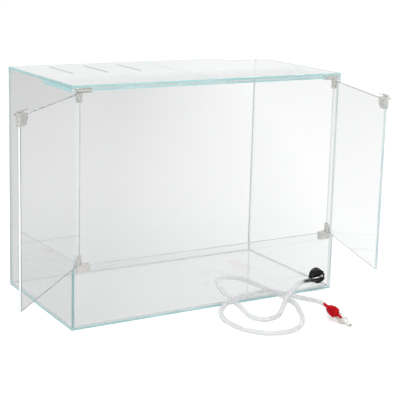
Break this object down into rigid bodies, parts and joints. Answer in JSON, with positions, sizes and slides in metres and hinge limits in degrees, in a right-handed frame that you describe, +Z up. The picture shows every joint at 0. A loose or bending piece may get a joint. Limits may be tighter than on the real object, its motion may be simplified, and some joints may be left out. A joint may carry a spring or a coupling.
{
  "type": "terrarium cabinet",
  "caption": "Clear front-opening terrarium case with hinged doors, a slotted two-pane cover, and a bottom drain with a hose and shut-off valve.",
  "frame": {"origin": "centre of the case's underside, on the floor it stands on", "axes": "+Z up, -Y out of the door side, +X to the right as seen from the door side"},
  "size_m": [0.7865, 0.5843, 0.46],
  "materials": {
    "clear_glass": "polished clear panel, pale blue-green at the edges",
    "clear_sealant": "cured clear silicone",
    "clip_plastic": "milky translucent moulding",
    "pin_steel": "bright drawn wire",
    "black_plastic": "glossy moulded",
    "gasket_rubber": "matt",
    "hose_pvc": "clear flexible tube",
    "red_plastic": "glossy moulded",
    "ivory_plastic": "satin moulded"
  },
  "bodies": {
    "case": {"base_panel": "clear_glass", "left_wall": "clear_glass", "right_wall": "clear_glass", "back_panel": "clear_glass", "front_panel": "clear_glass", "front_brace": "clear_glass", "cover_left": "clear_glass", "cover_right": "clear_glass", "silicone_seams": "clear_sealant", "left_lower_hinge_clip": "clip_plastic", "left_upper_hinge_clip": "clip_plastic", "right_lower_hinge_clip": "clip_plastic", "right_upper_hinge_clip": "clip_plastic", "left_lower_hinge_pin": "pin_steel", "left_upper_hinge_pin": "pin_steel", "right_lower_hinge_pin": "pin_steel", "right_upper_hinge_pin": "pin_steel", "drain_body": "black_plastic", "drain_inner_gasket": "gasket_rubber", "drain_outer_gasket": "gasket_rubber", "drain_nut": "black_plastic", "drain_elbow": "black_plastic", "hose": "hose_pvc", "valve_inlet": "red_plastic", "valve_body": "ivory_plastic"},
    "left_door": {"left_door_glass": "clear_glass", "left_lower_door_clamp": "clip_plastic", "left_upper_door_clamp": "clip_plastic", "left_catch": "clip_plastic"},
    "right_door": {"right_door_glass": "clear_glass", "right_lower_door_clamp": "clip_plastic", "right_upper_door_clamp": "clip_plastic", "right_catch": "clip_plastic"},
    "valve_lever": {"valve_handle": "red_plastic"}
  },
  "joints": [
    {"name": "left_door_hinge", "type": "hinge", "parent": "case", "child": "left_door", "pos_m": [-0.284, -0.155, 0.28], "axis": [0, 0, -1], "range_deg": [-134, 6]},
    {"name": "right_door_hinge", "type": "hinge", "parent": "case", "child": "right_door", "pos_m": [0.284, -0.155, 0.28], "axis": [0, 0, 1], "range_deg": [-72, 68]},
    {"name": "valve_lever_turn", "type": "hinge", "parent": "case", "child": "valve_lever", "pos_m": [0.17523, -0.33253, 0.02007], "axis": [-0.766, -0.1236, 0.6308], "range_deg": [0, 90]}
  ]
}
